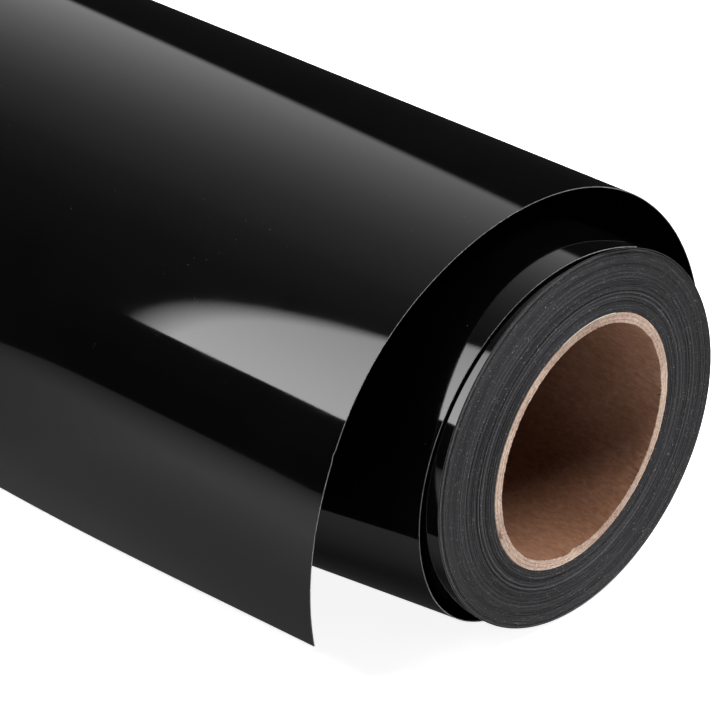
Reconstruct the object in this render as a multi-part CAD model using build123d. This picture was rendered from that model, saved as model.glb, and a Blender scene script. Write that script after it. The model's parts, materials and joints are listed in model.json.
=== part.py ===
from build123d import *
import math
import os

# Roll of gloss sign vinyl on a kraft paper core, with its outermost turn hanging loose.
# Millimetres, +Z up. The origin is on the core's axis, halfway along the core. The core's axis is Y,
# the near end is at -Y, and the loose tail hangs on the -X side.
# The web is one strip of face film on a release liner. It is wound anticlockwise as seen from -Y.

# ---- driving dimensions ----------------------------------------------------------------------
WEB_WIDTH = 305.0          # width of the web, which is also the core's length
FACE_FILM = 0.12           # thickness of the vinyl, the outer face of the web
LINER = 0.18               # thickness of the release liner, the inner face of the web
WEB = FACE_FILM + LINER

BORE_RADIUS = 38.1         # 3 inch core
INNER_PLY = 1.1            # the core is wound from three groups of kraft plies
MIDDLE_PLY = 1.2
OUTER_PLY = 1.1
CORE_RADIUS = BORE_RADIUS + INNER_PLY + MIDDLE_PLY + OUTER_PLY

TAPE_WIDTH = 25.0          # double-sided tape that starts the web on the core
TAPE = 0.15

PACK_RADIUS = 61.0         # outside of the tightly wound pack
BAND_NAMES = ("first", "second", "third", "fourth")
EDGE_SHIFT = 1.6           # mean set-back of the outermost wound turn's edge from the core's end
EDGE_SKEW = 4.2            # how far that edge swings either way about its mean
SKEW_ANGLE = 150.0         # direction in which the edge is set back most, from +X towards +Z

# The closing turn wraps the slack side, the rising turn comes up from the floor, the loose turn goes over
# the top, and the tail hangs from it. The web runs off square, so its edge is set back more and more.
TURN_GAP = 0.9             # room between the pack and the closing turn
FLOOR_GAP = 0.4            # the same under the pack, where the turn is pressed flat on the floor
FLAT_END = 7.5             # the flat's +X end
START_ANGLE = 70.0         # where the closing turn leaves the pack
BELLY_ANGLE = 150.0        # where its slack side begins
RISING_BENDS = ((86.0, 44.5), (48.0, 61.0))   # radius and bend of each arc
LOOSE_BENDS = ((85.5, 61.5), (94.5, 41.0))
TAIL_BENDS = ((74.5, 39.0), (108.0, 37.0))
FIRST_SET_BACK = 6.8       # set-back that builds up just after the web leaves the pack
SET_BACK_RUN = 30.0
RUN_OFF = 0.035            # set-back gained for each millimetre of web

# Stations along the roll: distance from the core's near end, radius and bend of the slack side before it
# rounds down to the floor, change of the tail's bend. The slack grows away from the near end, and the
# tail hangs lower.
STATIONS = (
    (-5.0, 62.0, 60.0, -5.0),
    (95.0, 84.0, 50.0, 4.0),
    (150.0, 84.0, 50.0, 11.0),
    (WEB_WIDTH + 60.0, 84.0, 50.0, 11.0),
)

LIVE_BEND_GAP = 0.4        # slit at the live bend where the tail lifts
NEAR_END = -WEB_WIDTH / 2


# ---- helpers ---------------------------------------------------------------------------------
def polar(radius, degrees):
    return radius * math.cos(math.radians(degrees)), radius * math.sin(math.radians(degrees))


def tube(inner, outer, length):
    """A tube about Y, centred on the origin."""
    ring = Circle(outer) - Circle(inner)
    return extrude(Plane.XZ * ring, length / 2, both=True)


def skewed_tube(inner, outer, share):
    """A wound band whose two ends are parallel planes, set back and skewed by a share of the full amount."""
    lean = share * EDGE_SKEW / PACK_RADIUS
    lean_x, lean_z = polar(lean, SKEW_ANGLE)
    normal = Vector(-lean_x, 1, -lean_z)
    near = Plane(origin=(0, NEAR_END + share * EDGE_SHIFT, 0), z_dir=normal)
    far = Plane(origin=(0, NEAR_END + share * EDGE_SHIFT + WEB_WIDTH, 0), z_dir=normal)
    band = tube(inner, outer, WEB_WIDTH + 8 * EDGE_SKEW)
    return split(split(band, near, keep=Keep.TOP), far, keep=Keep.BOTTOM)


class Path:
    """A web profile seen along +Y: tangent arcs and straights, laid end to end anticlockwise."""

    def __init__(self, start, heading):
        self.point = start
        self.heading = heading
        self.pieces = []

    def arc(self, radius, bend):
        centre_x = self.point[0] - radius * math.sin(math.radians(self.heading))
        centre_z = self.point[1] + radius * math.cos(math.radians(self.heading))
        self.pieces.append(("arc", (centre_x, centre_z), radius, self.heading - 90, bend))
        self.heading += bend
        end_x, end_z = polar(radius, self.heading - 90)
        self.point = (centre_x + end_x, centre_z + end_z)

    def straight(self, length):
        step_x, step_z = polar(length, self.heading)
        end = (self.point[0] + step_x, self.point[1] + step_z)
        self.pieces.append(("line", self.point, end, self.heading - 90))
        self.point = end

    def length(self):
        arcs = sum(piece[2] * math.radians(piece[4]) for piece in self.pieces if piece[0] == "arc")
        straights = sum(math.dist(piece[1], piece[2]) for piece in self.pieces if piece[0] == "line")
        return arcs + straights

    def at(self, share):
        """The point a share of the way along, by arc length."""
        left = share * self.length()
        for piece in self.pieces:
            own = math.dist(piece[1], piece[2]) if piece[0] == "line" else piece[2] * math.radians(piece[4])
            if left <= own or piece is self.pieces[-1]:
                break
            left -= own
        part = left / own
        if piece[0] == "line":
            return tuple(a + part * (b - a) for a, b in zip(piece[1], piece[2]))
        out_x, out_z = polar(piece[2], piece[3] + part * piece[4])
        return piece[1][0] + out_x, piece[1][1] + out_z

    def edges(self, offset):
        """The path moved outwards, to its right, by offset."""
        moved = []
        for piece in self.pieces:
            if piece[0] == "arc":
                _, centre, radius, start, bend = piece
                moved.append(CenterArc(centre, radius + offset, start, bend))
            else:
                _, begin, end, outward = piece
                out_x, out_z = polar(offset, outward)
                moved.append(Line((begin[0] + out_x, begin[1] + out_z), (end[0] + out_x, end[1] + out_z)))
        return moved


def set_back(run):
    """How far the web's near edge is set back from the core's end, a length of run after leaving the pack."""
    return FIRST_SET_BACK * (1 - math.exp(-run / SET_BACK_RUN)) + RUN_OFF * run


def edge_plane(path, run, width=0.0):
    """The slanting plane of the web's near edge over one stretch, or of its far edge with the web's width."""
    points = []
    for share in (0, 0.5, 1):
        x, z = path.at(share)
        points.append(Vector(x, NEAR_END + width + set_back(run + share * path.length()), z))
    normal = (points[1] - points[0]).cross(points[2] - points[0])
    return Plane(origin=points[0], z_dir=normal if normal.Y > 0 else -normal)


def ribbon(paths, run, low, high):
    """One layer of a stretch of web, lofted straight through the stations and cut along its two edges."""
    sections = []
    for path, (distance, *_) in zip(paths, STATIONS):
        inside = path.edges(low)
        outside = path.edges(high)
        ends = [Line(inside[0] @ 0, outside[0] @ 0), Line(inside[-1] @ 1, outside[-1] @ 1)]
        face = make_face(inside + outside + ends)
        level = Plane(origin=(0, NEAR_END + distance, 0), x_dir=(1, 0, 0), z_dir=(0, -1, 0))
        sections.append(level * face)
    layer = split(loft(sections, ruled=True), edge_plane(paths[0], run), keep=Keep.TOP)
    return split(layer, edge_plane(paths[0], run, WEB_WIDTH), keep=Keep.BOTTOM)


# ---- web paths -------------------------------------------------------------------------------
def closing_path(belly_radius, belly_turn):
    """From where the web leaves the pack, down the slack side and along the floor."""
    turn_radius = PACK_RADIUS + TURN_GAP
    floor = PACK_RADIUS + FLOOR_GAP
    path = Path(polar(turn_radius, START_ANGLE), START_ANGLE + 90)
    path.arc(turn_radius, BELLY_ANGLE - START_ANGLE)
    path.arc(belly_radius, belly_turn)
    # The last arc's radius is the one that meets the floor level with its tangent flat.
    sine = math.sin(math.radians(BELLY_ANGLE + belly_turn))
    centre_z = path.pieces[-1][1][1]
    last_radius = (centre_z + belly_radius * sine + floor) / (1 + sine)
    path.arc(last_radius, 270 - BELLY_ANGLE - belly_turn)
    path.straight(FLAT_END - path.point[0])
    return path


def bent_path(after, bends):
    """A stretch of web that goes on from the end of another through the given bends."""
    path = Path(after.point, after.heading)
    for radius, bend in bends:
        path.arc(radius, bend)
    return path


def tail_path(after, change):
    """From the live bend, past its slit, down to the free cut end."""
    (first_radius, first_bend), *rest = TAIL_BENDS
    slit = math.degrees(LIVE_BEND_GAP / first_radius)
    gap = bent_path(after, [(first_radius, slit)])
    return bent_path(gap, [(first_radius, first_bend - slit + change), *rest])


# ---- pieces ----------------------------------------------------------------------------------
def core_plies():
    inner = BORE_RADIUS + INNER_PLY
    middle = inner + MIDDLE_PLY
    return {
        "core_inner_ply": tube(BORE_RADIUS, inner, WEB_WIDTH),
        "core_middle_ply": tube(inner, middle, WEB_WIDTH),
        "core_outer_ply": tube(middle, CORE_RADIUS, WEB_WIDTH),
    }


def start_tape():
    """Double-sided tape along the top of the core, under the first turn of the web."""
    strip = Plane.XZ * Pos(0, CORE_RADIUS) * Rectangle(TAPE_WIDTH, 4 * TAPE + CORE_RADIUS)
    return tube(CORE_RADIUS, CORE_RADIUS + TAPE, WEB_WIDTH) & extrude(strip, WEB_WIDTH / 2, both=True)


def wound_bands(tape):
    """The tight pack in four bands of turns, each skewed a little more than the one inside it."""
    bands = {}
    outside = PACK_RADIUS - WEB
    step = (outside - CORE_RADIUS) / len(BAND_NAMES)
    for index, name in enumerate(BAND_NAMES):
        inner = CORE_RADIUS + index * step
        bands[f"wound_turns_{name}"] = skewed_tube(inner, inner + step, index / len(BAND_NAMES))
    bands["wound_turns_first"] -= tape
    bands["last_wound_liner"] = skewed_tube(outside, outside + LINER, 1)
    bands["last_wound_film"] = skewed_tube(outside + LINER, PACK_RADIUS, 1)
    return bands


def loose_web():
    """The web outside the pack in four stretches, each a liner inside and a face film outside."""
    closing = [closing_path(radius, turn) for _, radius, turn, _ in STATIONS]
    rising = [bent_path(before, RISING_BENDS) for before in closing]
    loose = [bent_path(before, LOOSE_BENDS) for before in rising]
    tail = [tail_path(before, change) for before, (*_, change) in zip(loose, STATIONS)]
    stretches = {"closing_turn": closing, "rising_turn": rising, "loose_turn": loose, "tail": tail}
    pieces = {}
    run = 0
    for name, paths in stretches.items():
        pieces[f"{name}_liner"] = ribbon(paths, run, 0, LINER)
        pieces[f"{name}_film"] = ribbon(paths, run, LINER, WEB)
        run += paths[0].length()
        end_x, end_z = paths[0].point
        print(f"{name} ends at x {end_x:.2f}, z {end_z:.2f}, heading {paths[0].heading:.1f}, run {run:.1f}")
    return pieces


def main():
    os.makedirs("parts", exist_ok=True)
    pieces = core_plies()
    pieces["start_tape"] = start_tape()
    pieces.update(wound_bands(pieces["start_tape"]))
    pieces.update(loose_web())
    for name, piece in pieces.items():
        export_step(piece, f"parts/{name}.step")


main()
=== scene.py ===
import json
import math

import bpy
import numpy as np
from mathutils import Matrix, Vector


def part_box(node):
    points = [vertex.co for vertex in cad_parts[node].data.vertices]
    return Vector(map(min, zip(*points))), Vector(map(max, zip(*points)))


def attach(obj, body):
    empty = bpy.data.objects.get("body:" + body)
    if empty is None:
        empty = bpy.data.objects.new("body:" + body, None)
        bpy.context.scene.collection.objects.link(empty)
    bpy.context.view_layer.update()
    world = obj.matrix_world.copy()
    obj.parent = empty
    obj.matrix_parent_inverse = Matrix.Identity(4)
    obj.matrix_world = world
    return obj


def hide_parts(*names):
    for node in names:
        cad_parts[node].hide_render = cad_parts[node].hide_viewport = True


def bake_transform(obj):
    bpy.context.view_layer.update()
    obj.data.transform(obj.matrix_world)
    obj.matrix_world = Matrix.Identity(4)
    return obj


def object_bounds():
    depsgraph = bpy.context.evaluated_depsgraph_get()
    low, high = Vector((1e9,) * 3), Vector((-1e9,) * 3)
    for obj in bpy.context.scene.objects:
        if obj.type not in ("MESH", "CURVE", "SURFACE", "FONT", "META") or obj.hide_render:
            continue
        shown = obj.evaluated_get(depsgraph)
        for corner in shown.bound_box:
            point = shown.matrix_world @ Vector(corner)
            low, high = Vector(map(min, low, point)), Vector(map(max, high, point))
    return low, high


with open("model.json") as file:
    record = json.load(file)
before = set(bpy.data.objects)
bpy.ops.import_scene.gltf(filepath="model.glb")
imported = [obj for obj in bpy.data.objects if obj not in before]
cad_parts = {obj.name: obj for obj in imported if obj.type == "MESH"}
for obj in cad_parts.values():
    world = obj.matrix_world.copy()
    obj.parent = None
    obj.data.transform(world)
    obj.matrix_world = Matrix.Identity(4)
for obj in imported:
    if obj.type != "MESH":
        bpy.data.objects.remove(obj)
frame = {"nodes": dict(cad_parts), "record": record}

# Roll of gloss sign vinyl on a kraft core. Metres, +Z up, the core's axis is Y and its near end is at -Y.
CAD_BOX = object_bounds()
MM = 0.001
SEED = 11

# ---- sizes read from the frame ---------------------------------------------------------------
core_low, core_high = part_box("core_inner_ply")
NEAR_END = core_low[1]
WEB_WIDTH = core_high[1] - core_low[1]
BORE_RADIUS = frame["record"]["mounts"][0]["dims"]["r_mm"] * MM
CORE_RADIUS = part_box("core_outer_ply")[1][2]
PACK_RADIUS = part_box("last_wound_film")[1][2]
FLOOR_LEVEL = CAD_BOX[0][2]

# ---- the web, as in the CAD model ------------------------------------------------------------
FACE_FILM = 0.12 * MM
LINER = 0.18 * MM
WEB = FACE_FILM + LINER
TURN_GAP = 0.9 * MM
FLOOR_GAP = 0.4 * MM
FLAT_END = 7.5 * MM
START_ANGLE = 70.0
BELLY_ANGLE = 150.0
RISING_BENDS = ((86.0, 44.5), (48.0, 61.0))     # radius in mm and bend of each arc
LOOSE_BENDS = ((85.5, 61.5), (94.5, 41.0))
TAIL_BENDS = ((74.5, 39.0), (108.0, 37.0))
FIRST_SET_BACK = 6.8 * MM
SET_BACK_RUN = 30.0 * MM
RUN_OFF = 0.035
# distance in mm, belly radius in mm and its bend, change of the tail's bend
STATIONS = (
    (-5.0, 62.0, 60.0, -5.0),
    (95.0, 84.0, 50.0, 4.0),
    (150.0, 84.0, 50.0, 11.0),
    (365.0, 84.0, 50.0, 11.0),
)
STATION_BLEND = np.linspace(-22, 22, 9) * MM    # the stations are blended over this much of the roll
EDGE_SHIFT = 1.6 * MM                           # mean set-back of the outermost wound turn's edge
EDGE_SKEW = 4.2 * MM
SKEW_ANGLE = 150.0

# samples along each stretch: closing turn's three arcs, the flat, two rising, two loose and two tail arcs
STEPS = (64, 40, 60, 12, 40, 56, 64, 40, 40, 36)
CLOSING, LOOSE = (0, 4), (4, len(STEPS))
# run and depth of the small nicks in the near edge, and how wide they are
NICKS = ((548.5 * MM, 0.4 * MM), (574.5 * MM, 0.25 * MM))
NICK_WIDTH = 0.7 * MM


def polar(radius, degrees):
    return radius * math.cos(math.radians(degrees)), radius * math.sin(math.radians(degrees))


def set_back(run):
    """How far the web's near edge is set back from the core's end, a length of run after leaving the pack."""
    return FIRST_SET_BACK * (1 - np.exp(-run / SET_BACK_RUN)) + RUN_OFF * run


def web_path(belly_radius, belly_turn, tail_change):
    """Samples (x, z, heading) on the web's inner face at one station, stretch by stretch."""
    turn_radius, floor = PACK_RADIUS + TURN_GAP, PACK_RADIUS + FLOOR_GAP
    stretches = []
    x, z = polar(turn_radius, START_ANGLE)
    heading = START_ANGLE + 90

    def arc(radius, bend):
        nonlocal x, z, heading
        out_x, out_z = polar(radius, heading - 90)
        turns = heading - 90 + np.linspace(0, bend, STEPS[len(stretches)] + 1)
        xs = x - out_x + radius * np.cos(np.radians(turns))
        zs = z - out_z + radius * np.sin(np.radians(turns))
        stretches.append(np.stack([xs, zs, turns + 90], 1))
        x, z, heading = xs[-1], zs[-1], heading + bend

    arc(turn_radius, BELLY_ANGLE - START_ANGLE)
    arc(belly_radius, belly_turn)
    sine = math.sin(math.radians(BELLY_ANGLE + belly_turn))
    arc((z + floor) / (1 + sine), 270 - BELLY_ANGLE - belly_turn)
    flat = np.linspace(x, FLAT_END, STEPS[len(stretches)] + 1)
    stretches.append(np.stack([flat, 0 * flat + z, 0 * flat + heading], 1))
    x = FLAT_END
    for radius, bend in RISING_BENDS + LOOSE_BENDS:
        arc(radius * MM, bend)
    (first_radius, first_bend), (last_radius, last_bend) = TAIL_BENDS
    arc(first_radius * MM, first_bend + tail_change)
    arc(last_radius * MM, last_bend)
    return stretches


def joined(stretches, first, last):
    """Rows of the given stretches end to end, without the doubled points where they meet."""
    return np.concatenate([stretches[first]] + [rows[1:] for rows in stretches[first + 1:last]])


station_at = np.array([row[0] for row in STATIONS]) * MM
station_paths = [web_path(row[1] * MM, row[2], row[3]) for row in STATIONS]
near_rows = joined(station_paths[0], 0, len(STEPS))
near_run = np.concatenate([[0], np.cumsum(np.hypot(*np.diff(near_rows[:, :2], axis=0).T))])


def web_points(first, last, columns, offset):
    """A grid of points on the web, offset outwards from its inner face, for stretches first to last."""
    grid = np.stack([joined(stretches, first, last) for stretches in station_paths])
    start = sum(STEPS[:first])
    run = near_run[start:start + grid.shape[1]]
    points = np.zeros((grid.shape[1], columns + 1, 3))
    for i, row_run in enumerate(run):
        along = set_back(row_run) + WEB_WIDTH * np.linspace(0, 1, columns + 1)
        along[0] += sum(depth * math.exp(-((row_run - at) / NICK_WIDTH) ** 2) for at, depth in NICKS)
        x, z, heading = (
            np.mean([np.interp(along + shift, station_at, grid[:, i, k]) for shift in STATION_BLEND], 0)
            for k in range(3))
        outward = np.radians(heading - 90)
        x, z = x + offset * np.cos(outward), z + offset * np.sin(outward)
        points[i] = np.stack([x, NEAR_END + along, z], 1)
    return points, run


# ---- mesh helpers ----------------------------------------------------------------------------
def new_object(name, vertices, faces, materials, face_material=None, sharp=35.0):
    mesh = bpy.data.meshes.new(name)
    mesh.from_pydata([tuple(v) for v in vertices], [], faces)
    for material in materials:
        mesh.materials.append(material)
    if face_material is not None:
        mesh.polygons.foreach_set("material_index", face_material)
    mesh.validate()
    mesh.polygons.foreach_set("use_smooth", [True] * len(mesh.polygons))
    mesh.set_sharp_from_angle(angle=math.radians(sharp))
    mesh.update()
    piece = bpy.data.objects.new(name, mesh)
    bpy.context.scene.collection.objects.link(piece)
    return piece


def shell_from_grids(name, outer, inner, materials):
    """A thin closed sheet between two grids of points; its rim takes the second material."""
    rows, columns = outer.shape[:2]
    count = rows * columns
    last_row, last_column = rows - 1, columns - 1
    vertices = np.concatenate([outer.reshape(-1, 3), inner.reshape(-1, 3)])
    faces, marks = [], []

    def at(i, j, side=0):
        return side * count + i * columns + j

    for i in range(last_row):
        for j in range(last_column):
            faces.append((at(i, j), at(i, j + 1), at(i + 1, j + 1), at(i + 1, j)))
            faces.append((at(i, j, 1), at(i + 1, j, 1), at(i + 1, j + 1, 1), at(i, j + 1, 1)))
            marks += [0, 0]
    for i in range(last_row):
        k = i + 1
        faces.append((at(i, 0), at(k, 0), at(k, 0, 1), at(i, 0, 1)))
        faces.append((at(i, last_column), at(i, last_column, 1), at(k, last_column, 1), at(k, last_column)))
        marks += [1, 1]
    for j in range(last_column):
        k = j + 1
        faces.append((at(0, j), at(0, j, 1), at(0, k, 1), at(0, k)))
        faces.append((at(last_row, j), at(last_row, k), at(last_row, k, 1), at(last_row, j, 1)))
        marks += [1, 1]
    return new_object(name, vertices, faces, materials, marks)


# ---- materials -------------------------------------------------------------------------------
def material(name):
    made = bpy.data.materials.new(name)
    made.use_nodes = True
    nodes = made.node_tree.nodes
    return made, nodes, made.node_tree.links, nodes["Principled BSDF"]


def noise(nodes, links, scale, detail=4.0, roughness=0.6, vector=None):
    node = nodes.new("ShaderNodeTexNoise")
    node.inputs["Scale"].default_value = scale
    node.inputs["Detail"].default_value = detail
    node.inputs["Roughness"].default_value = roughness
    if vector is None:
        coordinates = nodes.new("ShaderNodeTexCoord")
        vector = coordinates.outputs["Object"]
    links.new(vector, node.inputs["Vector"])
    return node


def grey(level):
    return (level, level, level)


def ramp(nodes, links, source, stops):
    node = nodes.new("ShaderNodeValToRGB")
    elements = node.color_ramp.elements
    while len(elements) < len(stops):
        elements.new(0.5)
    for element, (position, colour) in zip(elements, stops):
        element.position = position
        element.color = (*colour, 1.0)
    links.new(source, node.inputs["Fac"])
    return node


def bump(nodes, links, source, strength, distance, shader):
    node = nodes.new("ShaderNodeBump")
    node.inputs["Strength"].default_value = strength
    node.inputs["Distance"].default_value = distance
    links.new(source, node.inputs["Height"])
    links.new(node.outputs["Normal"], shader.inputs["Normal"])


def gloss_film():
    """Black gloss vinyl with fine dust, faint smears and a trace of orange peel."""
    made, nodes, links, shader = material("gloss_film")
    shader.inputs["IOR"].default_value = 1.48
    cloud = noise(nodes, links, 14.0, 3.0)
    black = [(0.3, (0.0006, 0.0006, 0.0007)), (0.7, (0.0014, 0.0014, 0.0016))]
    tone = ramp(nodes, links, cloud.outputs["Fac"], black)
    dust = noise(nodes, links, 1400.0, 1.0, 0.4)
    specks = ramp(nodes, links, dust.outputs["Fac"], [(0.79, grey(0)), (0.82, grey(1))])
    dusty = nodes.new("ShaderNodeMixRGB")
    links.new(specks.outputs["Color"], dusty.inputs["Fac"])
    links.new(tone.outputs["Color"], dusty.inputs["Color1"])
    dusty.inputs["Color2"].default_value = (0.035, 0.035, 0.04, 1)
    links.new(dusty.outputs["Color"], shader.inputs["Base Color"])
    smears = noise(nodes, links, 60.0, 5.0)
    haze = ramp(nodes, links, smears.outputs["Fac"], [(0.35, grey(0.045)), (0.75, grey(0.07))])
    links.new(haze.outputs["Color"], shader.inputs["Roughness"])
    peel = noise(nodes, links, 900.0, 2.0)
    bump(nodes, links, peel.outputs["Fac"], 0.05, 0.03 * MM, shader)
    return made


def film_edge(name, dark, light):
    """The slit edge of the web, speckled between two greys."""
    made, nodes, links, shader = material(name)
    speck = noise(nodes, links, 1500.0, 4.0)
    tone = ramp(nodes, links, speck.outputs["Fac"], [(0.35, grey(dark)), (0.7, grey(light))])
    links.new(tone.outputs["Color"], shader.inputs["Base Color"])
    shader.inputs["Roughness"].default_value = 0.45
    return made


def dark_liner():
    """The liner's back: as black as the film, and less glossy."""
    made, nodes, links, shader = material("dark_liner")
    cloud = noise(nodes, links, 30.0, 4.0)
    black = [(0.3, (0.0016, 0.0016, 0.0020)), (0.7, (0.0030, 0.0030, 0.0035))]
    tone = ramp(nodes, links, cloud.outputs["Fac"], black)
    links.new(tone.outputs["Color"], shader.inputs["Base Color"])
    smears = noise(nodes, links, 80.0, 5.0)
    haze = ramp(nodes, links, smears.outputs["Fac"], [(0.35, grey(0.13)), (0.75, grey(0.2))])
    links.new(haze.outputs["Color"], shader.inputs["Roughness"])
    return made


def radius_vector(nodes, links):
    """A coordinate whose X is the distance from the roll's axis, for lap lines."""
    coordinates = nodes.new("ShaderNodeTexCoord")
    split = nodes.new("ShaderNodeSeparateXYZ")
    links.new(coordinates.outputs["Object"], split.inputs[0])
    flat = nodes.new("ShaderNodeCombineXYZ")
    links.new(split.outputs["X"], flat.inputs["X"])
    links.new(split.outputs["Z"], flat.inputs["Z"])
    length = nodes.new("ShaderNodeVectorMath")
    length.operation = "LENGTH"
    links.new(flat.outputs[0], length.inputs[0])
    out = nodes.new("ShaderNodeCombineXYZ")
    links.new(length.outputs["Value"], out.inputs["X"])
    return out.outputs[0]


def web_edges():
    """The end of the pack: laps in several greys, with dust on them."""
    made, nodes, links, shader = material("web_edges")
    laps = noise(nodes, links, 1500.0, 3.0, 0.85, radius_vector(nodes, links))
    tones = [(0.36, (0.008, 0.008, 0.0085)), (0.5, (0.032, 0.0315, 0.034)), (0.64, (0.10, 0.098, 0.105))]
    lap_tone = ramp(nodes, links, laps.outputs["Fac"], tones)
    dust = noise(nodes, links, 1900.0, 2.0, 0.5)
    dust_mask = ramp(nodes, links, dust.outputs["Fac"], [(0.64, grey(0)), (0.70, grey(1))])
    mix = nodes.new("ShaderNodeMixRGB")
    links.new(dust_mask.outputs["Color"], mix.inputs["Fac"])
    links.new(lap_tone.outputs["Color"], mix.inputs["Color1"])
    mix.inputs["Color2"].default_value = (0.22, 0.22, 0.22, 1)
    links.new(mix.outputs["Color"], shader.inputs["Base Color"])
    grain = noise(nodes, links, 2400.0, 3.0)
    rough = ramp(nodes, links, grain.outputs["Fac"], [(0.3, grey(0.38)), (0.7, grey(0.6))])
    links.new(rough.outputs["Color"], shader.inputs["Roughness"])
    bump(nodes, links, grain.outputs["Fac"], 0.4, 0.08 * MM, shader)
    return made


def kraft(name, dark, mid, light, fibre_scale, relief):
    """Kraft paper: fine stretched fibres over soft blotches, in three tones."""
    made, nodes, links, shader = material(name)
    coordinates = nodes.new("ShaderNodeTexCoord")
    stretch = nodes.new("ShaderNodeMapping")
    stretch.inputs["Scale"].default_value = (1.0, 0.45, 1.0)
    stretch.inputs["Rotation"].default_value = (0.3, 0.2, 0.5)
    links.new(coordinates.outputs["Object"], stretch.inputs["Vector"])
    fibres = noise(nodes, links, fibre_scale, 8.0, 0.72, stretch.outputs[0])
    fibres.inputs["Distortion"].default_value = 0.6
    blotch = noise(nodes, links, 34.0, 4.0, 0.55)
    blotch_share = nodes.new("ShaderNodeMath")
    blotch_share.operation = "MULTIPLY"
    blotch_share.inputs[1].default_value = 0.4
    links.new(blotch.outputs["Fac"], blotch_share.inputs[0])
    both = nodes.new("ShaderNodeMath")
    both.operation = "MULTIPLY_ADD"
    both.inputs[1].default_value = 0.6
    links.new(fibres.outputs["Fac"], both.inputs[0])
    links.new(blotch_share.outputs[0], both.inputs[2])
    tone = ramp(nodes, links, both.outputs[0], [(0.36, dark), (0.5, mid), (0.66, light)])
    links.new(tone.outputs["Color"], shader.inputs["Base Color"])
    shader.inputs["Roughness"].default_value = 0.85
    shader.inputs["Specular IOR Level"].default_value = 0.25
    bump(nodes, links, fibres.outputs["Fac"], 0.6, relief, shader)
    return made


# ---- pieces ----------------------------------------------------------------------------------
FILM = gloss_film()
EDGE = film_edge("film_edge", 0.09, 0.30)
WOUND_EDGE = film_edge("wound_edge", 0.035, 0.10)
LINER_FACE = dark_liner()
COLUMNS = 60    # samples across the loose web's width


def web_piece(name, first, last, low, high, face, nodes_replaced, slot):
    """One layer of the loose web over a few stretches, and its length."""
    outer, run = web_points(first, last, COLUMNS, high)
    inner, _ = web_points(first, last, COLUMNS, low)
    piece = shell_from_grids(name, outer, inner, [face, EDGE])
    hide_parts(*nodes_replaced)
    return piece, float(run[-1] - run[0])


def loose_web():
    """The web outside the pack: the closing turn, then the long run that goes over the top into the tail."""
    layers = (("film", LINER, WEB, FILM, "gloss_film"), ("liner", 0.0, LINER, LINER_FACE, "liner"))
    for layer, low, high, face, slot in layers:
        nodes_here = [f"closing_turn_{layer}"]
        closing, length = web_piece(f"closing_{layer}", *CLOSING, low, high, face, nodes_here, slot)
        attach(closing, "loose_web")
        nodes_here = [f"rising_turn_{layer}", f"loose_turn_{layer}", f"tail_{layer}"]
        loose, length = web_piece(f"loose_{layer}", *LOOSE, low, high, face, nodes_here, slot)
        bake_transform(loose)


# how far the laps' slit edges stand in or out: within a lap, over one whole lap, over groups of laps
FINE_OFFSET, LAP_OFFSET, GROUP_OFFSET = 0.04 * MM, 0.10 * MM, 0.035 * MM
PER_TURN = 8                           # values of the edge's offset to a turn
STRAYS = 9                             # short stretches of edge that stand in or out further
STRAY_LEAST, STRAY_MOST = 0.1, 0.22    # how far they do, in mm
LAP_GROOVE = 0.16 * MM                 # depth of the groove between two laps
LOOSE_GROOVE = 0.55 * MM               # extra depth beside the one loose lap


def edge_height(x, z, share):
    """Set-back of the wound edges at a place on the end face; share grows from the core outwards."""
    lean_x, lean_z = polar(EDGE_SKEW / PACK_RADIUS, SKEW_ANGLE)
    return share * (EDGE_SHIFT + lean_x * x + lean_z * z)


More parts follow.
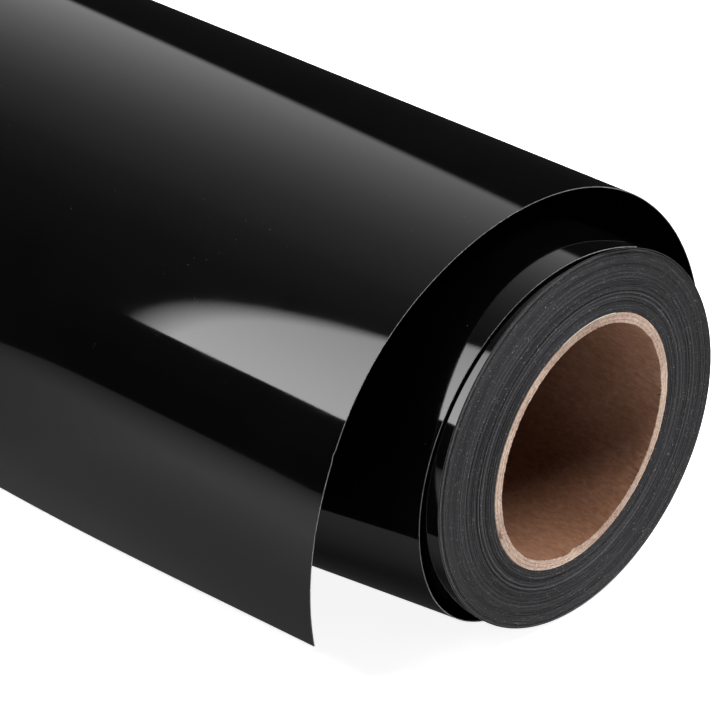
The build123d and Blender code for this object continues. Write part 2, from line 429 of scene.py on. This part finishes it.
def wound_turns():
    """The pack's turns as one true spiral, each with its own slit edge standing a little in or out."""
    rng = np.random.default_rng(SEED)
    turns = int((PACK_RADIUS - WEB - CORE_RADIUS) / WEB)
    limit = PACK_RADIUS - WEB + 0.04 * MM    # the last lap runs out under the last turn
    sectors = 360
    groups = np.convolve(rng.normal(0, 1, turns + 6), (0.5, 1, 0.5), "valid")[:turns + 3]
    knots = rng.normal(0, FINE_OFFSET, (turns + 3) * PER_TURN)
    knots += np.repeat(GROUP_OFFSET * groups + rng.normal(0, LAP_OFFSET, turns + 3), PER_TURN)
    for _ in range(STRAYS):
        place = rng.integers(PER_TURN, turns * PER_TURN)
        stretch = slice(place, place + rng.integers(6, 14))
        knots[stretch] += rng.choice([-1, 1]) * rng.uniform(STRAY_LEAST, STRAY_MOST) * MM
    loose_lap = turns - 4                    # this lap has a wider gap beside it
    profile = ((0.0, -LAP_GROOVE), (0.2, 0.0), (0.8, 0.0))    # place in the lap's thickness, and height there
    radii, heights = [], []
    angle = np.linspace(0, 2 * math.pi, sectors, endpoint=False)
    for lap in range(turns):
        for part, sink in profile:
            turn = lap + part + angle / (2 * math.pi)
            radius = np.minimum(CORE_RADIUS + WEB * turn, limit + 0.01 * MM * part)
            offset = np.interp((lap + angle / (2 * math.pi)) * PER_TURN, np.arange(len(knots)), knots)
            groove = sink - (LOOSE_GROOVE if lap == loose_lap and part == 0.0 else 0.0)
            radii.append(radius)
            heights.append(offset - groove)
    radii = np.array(radii)
    heights = np.array(heights)
    share = (radii - CORE_RADIUS) / (PACK_RADIUS - CORE_RADIUS)
    x = radii * np.cos(angle)
    z = radii * np.sin(angle)
    y_mean = NEAR_END + edge_height(x, z, share)
    ends = (y_mean + heights, y_mean + WEB_WIDTH - heights)
    rows = len(radii)
    vertices = np.concatenate([np.stack([x, y, z], -1).reshape(-1, 3) for y in ends])
    count = rows * sectors
    faces = []
    step = len(profile)
    for i in range(rows - 1):
        for j in range(sectors):
            if j < sectors - 1:
                a, b = i * sectors + j, i * sectors + j + 1
                c, d = (i + 1) * sectors + j + 1, (i + 1) * sectors + j
            else:
                if i + step + 1 >= rows:
                    continue
                a, b = i * sectors + j, (i + step) * sectors
                c, d = (i + step + 1) * sectors, (i + 1) * sectors + j
            faces.append((a, b, c, d))
            faces.append((count + a, count + d, count + c, count + b))
    # inner and outer walls
    for j in range(sectors - 1):
        faces.append((j, count + j, count + j + 1, j + 1))
        last = (rows - 1) * sectors
        faces.append((last + j, last + j + 1, count + last + j + 1, count + last + j))
    piece = new_object("wound_turns", vertices, faces, [web_edges()], sharp=50.0)
    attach(piece, "wound_pack")
    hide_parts("wound_turns_first", "wound_turns_second", "wound_turns_third", "wound_turns_fourth")


def ring_shell(name, inner, outer, materials, lip=0.0):
    """A full turn of web, with its two edges set back as the outermost wound turn's are."""
    columns, sectors = 24, 360
    angle = np.linspace(0, 2 * math.pi, sectors, endpoint=False)
    share = np.linspace(0, 1, columns + 1)
    vertices = []
    for radius in (outer, inner):
        x = np.repeat(radius * np.cos(angle)[:, None], columns + 1, 1)
        z = np.repeat(radius * np.sin(angle)[:, None], columns + 1, 1)
        y = NEAR_END + lip + edge_height(x, z, 1.0) + WEB_WIDTH * share[None, :]
        vertices.append(np.stack([x, y, z], -1).reshape(-1, 3))
    count = sectors * (columns + 1)
    vertices = np.concatenate(vertices)
    faces, marks = [], []
    for i in range(sectors):
        k = (i + 1) % sectors
        for j in range(columns):
            a, b = i * (columns + 1) + j, i * (columns + 1) + j + 1
            c, d = k * (columns + 1) + j + 1, k * (columns + 1) + j
            faces.append((a, b, c, d))
            faces.append((count + a, count + d, count + c, count + b))
            marks += [0, 0]
        a, d = i * (columns + 1), k * (columns + 1)
        faces.append((a, d, count + d, count + a))
        a, d = a + columns, d + columns
        faces.append((a, count + a, count + d, d))
        marks += [1, 1]
    return new_object(name, vertices, faces, materials, marks)


def last_turn():
    """The pack's last turn, film over liner."""
    film = ring_shell("last_turn", PACK_RADIUS - FACE_FILM, PACK_RADIUS, [FILM, WOUND_EDGE])
    inner = PACK_RADIUS - WEB + 0.06 * MM
    finish = [LINER_FACE, WOUND_EDGE]
    liner = ring_shell("last_turn_liner", inner, PACK_RADIUS - FACE_FILM, finish, lip=0.05 * MM)
    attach(film, "wound_pack")
    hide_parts("last_wound_film")
    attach(liner, "wound_pack")
    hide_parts("last_wound_liner")


def core():
    """The kraft tube: a bore with fine wrinkles and two fibrous cut ends that show the plies."""
    rng = np.random.default_rng(SEED + 1)
    sectors, along = 480, 90    # samples round the tube, and along its bore
    angle = np.linspace(0, 2 * math.pi, sectors, endpoint=False)

    def ring_noise(size, waves):
        total = np.zeros(sectors)
        for wave in waves:
            height = rng.normal(0, 1) / math.sqrt(len(waves))
            total += height * np.cos(wave * angle + rng.uniform(0, 2 * math.pi))
        return size * total

    wall = CORE_RADIUS - 0.02 * MM - BORE_RADIUS    # just short of the first wound turn
    cut_shares = (0.0, 0.05, 0.12, 0.22, 0.32, 0.34, 0.36, 0.5, 0.62, 0.66, 0.68, 0.70, 0.8, 0.9, 0.96, 1.0)
    ply_lines = {0.34: 0.22, 0.68: 0.18}    # share of the wall, and depth in mm of the line between two plies
    inner_rings, outer_rings = range(5), range(10, len(cut_shares))    # those on the inner and the outer ply

    def dent(at, width, depth):
        """A small dent in the near end, placed and sized in degrees round the axis."""
        return np.exp(-((np.degrees(angle) - at) / width) ** 2) * depth

    def cut_end(y, inward):
        """Rings over one cut end, from the bore out: the rim, the plies' lines and the paper's roughness."""
        made = []
        for share in cut_shares:
            rough = ring_noise(0.17 * MM, rng.integers(12, 210, 18))
            round_over = 0.16 * MM if share in (0.0, 1.0) else 0.0
            depth = ply_lines.get(share, 0.0) * MM + round_over
            radius = BORE_RADIUS + wall * share
            if share < 0.1:
                radius = radius + np.abs(ring_noise(0.34 * MM, rng.integers(8, 120, 16)))
            made.append((radius, y + inward * (depth + np.abs(rough))))
        return made

    near = cut_end(NEAR_END, 1)
    far = cut_end(NEAR_END + WEB_WIDTH, -1)
    nick = dent(200, 2.2, 0.9 * MM)
    tear = dent(268, 3.0, 0.7 * MM)
    near = [
        (radius, y + (nick if ring in outer_rings else 0) + (tear if ring in inner_rings else 0))
        for ring, (radius, y) in enumerate(near)]
    bore = []
    for k in range(1, along):
        y = NEAR_END + WEB_WIDTH * k / along
        seam = np.cos(angle + y / (30 * MM)) > 0.9995
        radius = BORE_RADIUS + ring_noise(0.02 * MM, rng.integers(3, 60, 8)) + seam * 0.1 * MM
        bore.append((radius, np.full(sectors, y)))
    rings = near[::-1] + bore + far
    vertices = []
    for radius, y in rings:
        vertices.append(np.stack([radius * np.cos(angle), y + 0 * angle, radius * np.sin(angle)], -1))
    vertices = np.concatenate(vertices)
    count = len(rings)
    faces, marks = [], []
    ends = len(near)
    for i in range(count):
        n = (i + 1) % count
        for j in range(sectors):
            m = (j + 1) % sectors
            faces.append((i * sectors + j, n * sectors + j, n * sectors + m, i * sectors + m))
            is_bore = ends - 1 <= i < count - ends
            marks.append(0 if is_bore else 1)
    bore_tones = (0.13, 0.059, 0.035), (0.19, 0.096, 0.058), (0.27, 0.147, 0.094)
    end_tones = (0.20, 0.135, 0.10), (0.40, 0.285, 0.225), (0.60, 0.47, 0.385)
    bore_paper = kraft("kraft_bore", *bore_tones, 800.0, 0.2 * MM)
    end_paper = kraft("kraft_end", *end_tones, 1100.0, 0.5 * MM)
    piece = new_object("core_tube", vertices, faces, [bore_paper, end_paper], marks, sharp=60.0)
    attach(piece, "wound_pack")
    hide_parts("core_inner_ply", "core_middle_ply", "core_outer_ply")


def start_tape():
    """The tape is sealed under the first turn, so its own shape stays and it only gets its finish."""
    made, nodes, links, shader = material("start_tape")
    cloud = noise(nodes, links, 120.0, 4.0)
    tone = ramp(nodes, links, cloud.outputs["Fac"], [(0.3, (0.55, 0.53, 0.46)), (0.7, (0.72, 0.70, 0.62))])
    links.new(tone.outputs["Color"], shader.inputs["Base Color"])
    shader.inputs["Roughness"].default_value = 0.4
    tape = frame["nodes"]["start_tape"]
    for place in tape.material_slots:
        place.material = made


# ---- stage -----------------------------------------------------------------------------------
def floor():
    """A plain white floor. The film doesn't mirror it: the floor glow does that part."""
    size = 6.0
    mesh = bpy.data.meshes.new("floor")
    corners = [(-size, -size, 0), (size, -size, 0), (size, size, 0), (-size, size, 0)]
    mesh.from_pydata(corners, [], [(0, 1, 2, 3)])
    piece = bpy.data.objects.new("floor", mesh)
    piece.location.z = FLOOR_LEVEL - 0.2 * MM
    made, nodes, links, shader = material("floor")
    grain = noise(nodes, links, 3.0, 2.0)
    tone = ramp(nodes, links, grain.outputs["Fac"], [(0.0, grey(0.93)), (1.0, grey(0.95))])
    links.new(tone.outputs["Color"], shader.inputs["Base Color"])
    shader.inputs["Roughness"].default_value = 0.95
    shader.inputs["Specular IOR Level"].default_value = 0.1
    shader.inputs["Emission Color"].default_value = (1, 1, 1, 1)
    shader.inputs["Emission Strength"].default_value = 0.9
    mesh.materials.append(made)
    bpy.context.scene.collection.objects.link(piece)
    piece.visible_glossy = False


def panel(name, centre, aim, width, height, radiance, mirrored=True, lights=True):
    """A soft box facing a point. It can show in reflections only, or light the scene only."""
    light = bpy.data.lights.new(name, "AREA")
    light.shape = "RECTANGLE"
    light.size = width
    light.size_y = height
    light.energy = radiance * math.pi * width * height
    lamp = bpy.data.objects.new(name, light)
    lamp.location = centre
    lamp.rotation_euler = (Vector(aim) - Vector(centre)).to_track_quat("-Z", "Y").to_euler()
    lamp.visible_camera = False
    lamp.visible_glossy = mirrored
    lamp.visible_diffuse = lights
    bpy.context.scene.collection.objects.link(lamp)
    return lamp


def graded(lamp, across, along, slant=0.0):
    """Fades a soft box towards its sides with two ramps; a slant runs the first one off square."""
    light = lamp.data
    light.use_nodes = True
    nodes, links = light.node_tree.nodes, light.node_tree.links
    emission = next(node for node in nodes if node.type == "EMISSION")
    geometry = nodes.new("ShaderNodeNewGeometry")
    split = nodes.new("ShaderNodeSeparateXYZ")
    links.new(geometry.outputs["Parametric"], split.inputs[0])
    slanted = nodes.new("ShaderNodeMath")
    slanted.operation = "MULTIPLY_ADD"
    slanted.inputs[1].default_value = slant
    links.new(split.outputs["Y"], slanted.inputs[0])
    links.new(split.outputs["X"], slanted.inputs[2])
    product = nodes.new("ShaderNodeMath")
    product.operation = "MULTIPLY"
    for index, (place, stops) in enumerate(((slanted.outputs[0], across), (split.outputs["Y"], along))):
        fade = ramp(nodes, links, place, [(at, grey(level)) for at, level in stops])
        links.new(fade.outputs["Color"], product.inputs[index])
    links.new(product.outputs[0], emission.inputs["Strength"])


# The long band over the roll, for mirrored rays: how bright it is by the angle from +X towards +Z. Its sharp
# edge leans over to the right for rays that go far along the roll.
BAND_EDGE = ((35, 0.014), (38, 1.0))
BAND_FADE = (
    (0, 1.0), (20, 1.3), (38, 1.2), (53, 0.95), (64, 0.70), (77, 0.45), (98, 0.19), (120, 0.08), (150, 0.035),
    (180, 0.02))
LEAN_FROM, LEAN_TO, LEAN = 0.54, 0.70, 17    # along-roll parts of a ray's direction, and the lean in degrees
AMBIENT = 0.015    # the world's own light on matt surfaces


def studio():
    """White to the eye. In the gloss it is dark, with one long soft band over the roll."""
    world = bpy.data.worlds.new("studio")
    bpy.context.scene.world = world
    world.use_nodes = True
    nodes, links = world.node_tree.nodes, world.node_tree.links
    background = nodes["Background"]
    background.inputs["Color"].default_value = (1, 1, 1, 1)
    coordinates = nodes.new("ShaderNodeTexCoord")
    split = nodes.new("ShaderNodeSeparateXYZ")
    links.new(coordinates.outputs["Generated"], split.inputs[0])
    turn = nodes.new("ShaderNodeMath")
    turn.operation = "ARCTAN2"
    links.new(split.outputs["Z"], turn.inputs[0])
    links.new(split.outputs["X"], turn.inputs[1])
    half_turn = nodes.new("ShaderNodeMath")
    half_turn.operation = "DIVIDE"
    half_turn.inputs[1].default_value = math.pi
    links.new(turn.outputs[0], half_turn.inputs[0])
    lean = nodes.new("ShaderNodeMapRange")
    lean_range = {"From Min": LEAN_FROM, "From Max": LEAN_TO, "To Min": 0.0, "To Max": LEAN / 180}
    for socket, value in lean_range.items():
        lean.inputs[socket].default_value = value
    links.new(split.outputs["Y"], lean.inputs["Value"])
    leaned = nodes.new("ShaderNodeMath")
    links.new(half_turn.outputs[0], leaned.inputs[0])
    links.new(lean.outputs["Result"], leaned.inputs[1])
    edge = ramp(nodes, links, leaned.outputs[0], [(at / 180, grey(level)) for at, level in BAND_EDGE])
    fade = ramp(nodes, links, half_turn.outputs[0], [(at / 180, grey(level)) for at, level in BAND_FADE])
    band = nodes.new("ShaderNodeMath")
    band.operation = "MULTIPLY"
    links.new(edge.outputs["Color"], band.inputs[0])
    links.new(fade.outputs["Color"], band.inputs[1])
    path = nodes.new("ShaderNodeLightPath")
    level = None
    for ray, strength in (("Is Diffuse Ray", AMBIENT), ("Is Camera Ray", 1.0)):
        mix = nodes.new("ShaderNodeMix")
        mix.data_type = "FLOAT"
        links.new(path.outputs[ray], mix.inputs["Factor"])
        links.new(band.outputs[0] if level is None else level, mix.inputs["A"])
        mix.inputs["B"].default_value = strength
        level = mix.outputs["Result"]
    links.new(level, background.inputs["Strength"])

    # the left soft box shows as the bright patch on the web's left; the glow stands for the floor's image, a
    # painted reflection, with painted shade where it nears the roll
    box = panel("soft_box_left", (-0.224, 0.0025, 0.254), (0, 0.0025, 0.254), 0.22, 0.34, 8.5)
    graded(box, [(0.125, 0), (0.235, 1)], [(0, 1), (0.3, 0.85), (0.56, 0.75), (1, 0.6)], 0.17)
    glow_at = (-0.45, -0.33, FLOOR_LEVEL + 0.3 * MM)
    glow = panel("floor_glow", glow_at, (-0.45, -0.33, 1), 1.2, 1.0, 0.9, lights=False)
    # the glow dims towards the roll: painted shade of the floor beside and under the roll, as the film
    # mirrors it
    painted_shade_near_roll = [(0.178, 0.03), (0.198, 0.22), (0.232, 0.4), (0.304, 0.85)]
    graded(glow, painted_shade_near_roll, [(0, 0.3), (0.14, 1), (0.86, 1), (1, 0.3)])
    panel("key_high", (0.8, -0.72, 1.85), (0, NEAR_END, 0), 1.1, 0.9, 18.5, mirrored=False)
    panel("front_fill", (0.9, -2.0, 0.7), (0, 0, 0), 1.0, 1.0, 1.5, mirrored=False)


def camera():
    """Looks along the roll from the front left, from above."""
    view = bpy.data.cameras.new("camera")
    view.lens = 150.0
    view.sensor_width = 36.0
    view.dof.use_dof = False
    eye = bpy.data.objects.new("camera", view)
    azimuth, elevation = math.radians(-48.17), math.radians(31.86)
    level = math.cos(elevation)
    forward = Vector((-math.sin(azimuth) * level, math.cos(azimuth) * level, -math.sin(elevation)))
    eye.location = Vector((-0.602, NEAR_END - 0.449, 0.494))
    eye.rotation_euler = forward.to_track_quat("-Z", "Y").to_euler()
    bpy.context.scene.collection.objects.link(eye)
    bpy.context.scene.camera = eye


camera()
floor()
studio()
bpy.context.scene.view_settings.view_transform = "Standard"
loose_web()
wound_turns()
last_turn()
core()
start_tape()
